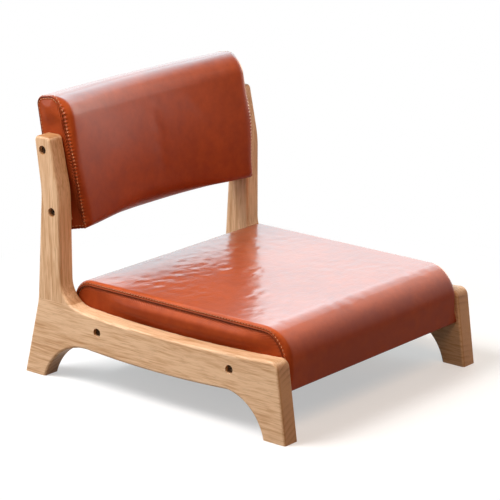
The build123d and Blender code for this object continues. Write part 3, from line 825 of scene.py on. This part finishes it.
# %% [markdown]
# ## Back pad
# The back is bowed, so that it holds the sitter, and leans back. Its section is drawn upright, as at the
# ends, and each point is then carried back by the bow and turned with the lean. The gussets are cut with a
# tight lower corner, and between them the panel pulls rounder, so its section goes over from one outline to
# another. Seam and gathers are deepest on the front.

# %% Back pad
bolt_low, bolt_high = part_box("back_bolts")
BACK_PLACE = (bolt_low + bolt_high) / 2
BACK_LEAN = math.radians(9.75)
BACK_FRONT, BACK_REAR, BACK_RISE, BACK_DROP = 37.5 * MM, 27 * MM, 127.5 * MM, 82 * MM
BACK_BOW = 22 * MM
BACK_SWELL = 3.5 * MM
BACK_PUFF, BACK_DRAW_IN = 3.0 * MM, 9 * MM
bow_radius = (SEAT_HALF**2 + BACK_BOW**2) / (2 * BACK_BOW)
back_corners = [(BACK_REAR, -BACK_DROP), (-BACK_FRONT, -BACK_DROP),
                (-BACK_FRONT, BACK_RISE), (BACK_REAR, BACK_RISE)]
BACK_ROWS = 470


def back_section(*radii):
    """Outline of the pad with these corner radii in mm, from the lower rear corner round by the front."""
    return spaced_evenly(*rounded_loop(back_corners, np.array(radii) * MM, [1.5 * MM] * 4), BACK_ROWS)


def low_share(rise):
    """0 from 25 mm above the bolts' middle upwards, 1 from 75 mm below it downwards, smooth between."""
    return smooth_step(-rise, -25 * MM, 75 * MM)


back_loop, _ = back_section(14, 32, 38, 14)
back_end_loop, back_outward = back_section(12, 11, 36, 14)
back_facing = smooth_step(-back_outward[:, 0], 0.1, 0.95)
back_slope = smooth_step(back_end_loop[:, 1], 10 * MM, 90 * MM)
back_low = low_share(back_end_loop[:, 1])
back_sewn = 0.45 + 0.55 * back_facing
back_pucker = (0.10 + 0.65 * back_facing)[:, None] * MM


def back_half(section):
    """Half the width of the pad: its lower front corners draw in from the posts."""
    depth, rise = section[..., 0], section[..., 1]
    drawn_in = low_share(rise) * smooth_step(-depth, -2 * MM, 24 * MM)
    return SEAT_HALF - BACK_DRAW_IN * drawn_in


def leaning(points):
    """Section points (across, depth, rise) bowed about a far upright axis and turned back by the lean."""
    across, depth, rise = np.moveaxis(points, -1, 0)
    depth = np.sqrt((bow_radius + depth) ** 2 - across**2) - bow_radius + BACK_BOW
    y = BACK_PLACE.y + depth * math.cos(BACK_LEAN) + rise * math.sin(BACK_LEAN)
    z = BACK_PLACE.z - depth * math.sin(BACK_LEAN) + rise * math.cos(BACK_LEAN)
    return np.stack([across, y, z], axis=-1)


def back_puff(section, depth):
    """The gusset swells only above the top of the post."""
    return BACK_PUFF * smooth_step(section[..., 1], 80 * MM, 100 * MM) * smooth_step(depth, 2 * MM, 18 * MM)


def no_wear(panel, from_seam):
    """The back has no creases of its own."""
    return np.zeros_like(from_seam)


back_pole = (1 * MM, 32 * MM)
back_columns = across_columns(flat_steps=34, roll_steps=20, drop_steps=5, drop=SEAT_DROP)
back_tuck = (1.2 + (4 + 6 * back_slope + 4 * back_low) * back_facing) * MM
back_roll = (5 + 9 * back_facing) * MM
back_flat = panel_grid(back_loop, back_end_loop, back_outward, back_half(back_end_loop), back_tuck,
                       back_roll, back_columns)
back_cushion, back_stitches = make_pad(
    "back", back_flat, leaning, back_pole, back_half,
    back_sewn, False, BACK_SWELL, back_puff, no_wear, back_pucker, back_leather)

# %% [markdown]
# ## Dust cloth
# A thin dark cloth closes the seat from below. It is stapled round its edge to the seat frame, so it is
# tight, with a slight sag in the middle and small pulls at the staples. One sheet with a sag formula is
# enough, and Solidify gives it its thickness.


# %% Dust cloth
def cloth_finish():
    """Plain weave: the product of two fine sine waves, over and under, with a few slubs."""
    material, wire, place = new_material("dark_dust_cloth")
    across, along = (wire.add("ShaderNodeSeparateXYZ", {}, {0: place}, output=axis) for axis in (0, 1))
    weave = wire.math("SINE", across * 8000.0) * wire.math("SINE", along * 8000.0)
    slubs = place.stretched(1.0, 0.1, 1.0).noise(500.0, 2.0)
    colour = (weave * 0.3 + slubs * 0.8).blend((0.022, 0.021, 0.021, 1), (0.085, 0.081, 0.077, 1))
    return shade(material, wire, Base_Color=colour, Roughness=0.82 + slubs * 0.12,
                 Normal=bump(wire, weave + slubs, 0.0001, 0.6))


cloth_low, cloth_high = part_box("seat_dust_cover")
CLOTH_SAG, CLOTH_PULL, CLOTH_THICKNESS = 1.2 * MM, 0.3 * MM, 0.5 * MM
STAPLES_PER_SIDE, STAPLE_INSET, STAPLE_LENGTH, STAPLE_WIRE = 9, 7 * MM, 10 * MM, 0.9 * MM
cloth_size = np.array(cloth_high - cloth_low)[:2]
cloth_middle = np.array(cloth_high + cloth_low)[:2] / 2


def cloth_height(u, v):
    """Height of the cloth at u, v from -1 to 1: a sag in the middle and pulls at the stapled edge."""
    sag = CLOTH_SAG * (1 - u**4) * (1 - v**4)
    ripple = np.cos(math.pi * STAPLES_PER_SIDE * u) * v**16 + np.cos(math.pi * STAPLES_PER_SIDE * v) * u**16
    return cloth_high.z - CLOTH_THICKNESS - sag - CLOTH_PULL * (1 + 0.5 * ripple)


CLOTH_STEPS = 91
u, v = np.meshgrid(np.linspace(-1, 1, CLOTH_STEPS), np.linspace(-1, 1, CLOTH_STEPS), indexing="ij")
cloth_points = np.stack([cloth_middle[0] + u * cloth_size[0] / 2, cloth_middle[1] + v * cloth_size[1] / 2,
                         cloth_height(u, v)], axis=2)
first = (np.arange(CLOTH_STEPS - 1)[:, None] * CLOTH_STEPS + np.arange(CLOTH_STEPS - 1)).ravel()
cloth_faces = np.stack([first, first + 1, first + CLOTH_STEPS + 1, first + CLOTH_STEPS], axis=1).tolist()
dust_cloth = add_piece("seat_dust_cloth", cloth_points.reshape(-1, 3), cloth_faces, cloth_finish())
thickness = dust_cloth.modifiers.new("thickness", "SOLIDIFY")
thickness.thickness = CLOTH_THICKNESS
thickness.offset = -1.0
print("dust cloth", [round(size, 3) for size in cloth_size])

# %% Staples
step = np.linspace(-1, 1, STAPLES_PER_SIDE + 1)[:-1] + 1 / STAPLES_PER_SIDE
inset = 1 - 2 * STAPLE_INSET / cloth_size
edge = np.ones(STAPLES_PER_SIDE)
staple_u = np.concatenate([step, step, -inset[0] * edge, inset[0] * edge])
staple_v = np.concatenate([-inset[1] * edge, inset[1] * edge, step, step])
staple_places = np.stack([cloth_middle[0] + staple_u * cloth_size[0] / 2,
                          cloth_middle[1] + staple_v * cloth_size[1] / 2,
                          cloth_height(staple_u, staple_v)], axis=1)
along_edge = np.repeat([(1.0, 0.0, 0.0), (0.0, 1.0, 0.0)], 2 * STAPLES_PER_SIDE, axis=0)
downward = np.repeat([(0.0, 0.0, -1.0)], 4 * STAPLES_PER_SIDE, axis=0)
staple_beads = set_beads(bead(STAPLE_LENGTH, STAPLE_WIRE), staple_places, along_edge, downward)
staples = add_beads("seat_staples", [staple_beads], zinc)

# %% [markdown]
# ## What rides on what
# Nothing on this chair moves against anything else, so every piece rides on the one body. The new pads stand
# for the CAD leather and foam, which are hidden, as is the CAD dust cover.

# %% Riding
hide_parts("seat_cover_panel", "seat_cover_right_gusset", "seat_cover_left_gusset",
            "seat_foam")
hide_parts("back_cover_panel", "back_cover_right_gusset", "back_cover_left_gusset",
            "back_front_foam", "back_rear_foam")
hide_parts("seat_dust_cover")
slots = {"leather": (seat_cushion, back_cushion, seat_stitches, back_stitches),
         "dust_cloth": (dust_cloth,), "zinc": (staples,)}
for slot, pieces in slots.items():
    for piece in pieces:
        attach(piece, "root")
print("riding on the root:", [piece.name for pieces in slots.values() for piece in pieces])

# %% [markdown]
# ## Floor and light
# A pale floor carries the shadow and goes over into white further out. The key lamp stands high on the right
# and a little to the rear, so it lights the tops and the side frames. Warm lamps fill the front and the left
# side, and pale screens beyond the far side give the leather its white sheen.

# %% Floor
BOUNCE, NEAR_WHITE = (0.21, 0.17, 0.125, 1), (0.98, 0.98, 0.98, 1)


def seen_by_eye(wire):
    """1 for rays that reach the eye straight, mirrored or through glass, and 0 for light thrown on."""
    kinds = ("Is Camera Ray", "Is Glossy Ray", "Is Transmission Ray")
    rays = [wire.add("ShaderNodeLightPath", output=kind) for kind in kinds]
    return rays[0].math("MAXIMUM", rays[0], rays[1].math("MAXIMUM", rays[1], rays[2]))


def floor_finish():
    """Pale floor: nearly white to the eye and in reflections, and brown for the light that it throws back.

    The share of plain white grows with the distance from the chair, so the floor shows no end.
    """
    material, wire, place = new_material("pale_floor")
    seen = seen_by_eye(wire)
    colour = seen.blend(BOUNCE, NEAR_WHITE)
    values = {"Base Color": colour, "Roughness": 0.9, "Specular IOR Level": 0.1}
    matt = wire.add("ShaderNodeBsdfPrincipled", {}, values)
    white = wire.add("ShaderNodeEmission", {}, {"Strength": 1.0})
    away = wire.add("ShaderNodeVectorMath", {"operation": "LENGTH"}, {0: place}, output="Value")
    share = seen * (0.45 + 0.55 * away.between(0.35, 0.75))
    mixed = wire.add("ShaderNodeMixShader", {}, {0: share, 1: matt, 2: white})
    wire.add("ShaderNodeOutputMaterial", {}, {"Surface": mixed})
    print("material", material.name, "with", len(wire.tree.nodes), "nodes")
    return material


FLOOR_REACH, FLOOR_DROP = 9.0, 0.0004
floor_corners = np.array([(-1, -1, 0), (1, -1, 0), (1, 1, 0), (-1, 1, 0)]) * FLOOR_REACH
floor_corners -= (0, 0, FLOOR_DROP)
floor = add_piece("floor", floor_corners, [[0, 1, 2, 3]], floor_finish(), smooth=False)

# %% Light
SEAT_MIDDLE = Vector((0.0, 0.0, 0.2))


def softbox(name, place, width, height, power, colour=(1, 1, 1)):
    """A rectangular lamp that faces the chair."""
    lamp = bpy.data.lights.new(name, "AREA")
    lamp.color = colour
    lamp.shape = "RECTANGLE"
    lamp.size, lamp.size_y = width, height
    lamp.energy = power
    holder = bpy.data.objects.new(name, lamp)
    holder.location = place
    holder.rotation_mode = "QUATERNION"
    holder.rotation_quaternion = (SEAT_MIDDLE - Vector(place)).to_track_quat("-Z", "Y")
    holder.visible_camera = False
    bpy.context.scene.collection.objects.link(holder)


COOL, WARM = (0.47, 0.86, 1.0), (1.0, 0.64, 0.38)
softbox("key", (-1.2, 0.85, 2.2), 1.1, 1.2, 72)
softbox("right_side", (-2.1, 1.3, 0.9), 1.4, 1.2, 12)
softbox("left_side", (2.2, 0.2, 0.6), 1.2, 0.8, 10, WARM)
softbox("warm_front", (-0.4, -1.25, 2.0), 1.4, 1.1, 20, WARM)
softbox("far_front_screen", (2.3, -0.95, 1.1), 2.4, 2.2, 13)
softbox("far_screen", (2.3, 1.9, 1.2), 2.6, 1.7, 12.5, COOL)
softbox("far_sky", (1.9, 0.8, 1.75), 1.6, 1.2, 8, COOL)

world = bpy.data.worlds.new("studio")
bpy.context.scene.world = world
world.use_nodes = True
world.node_tree.nodes.clear()
sky = Wire(world.node_tree)
WORLD_FILL = 0.09
strength = seen_by_eye(sky) * (1 - WORLD_FILL) + WORLD_FILL
glow = sky.add("ShaderNodeBackground", {}, {"Color": (1, 1, 1, 1), "Strength": strength})
sky.add("ShaderNodeOutputWorld", {}, {"Surface": glow})
print("lamps:", [lamp.name for lamp in bpy.data.lights])
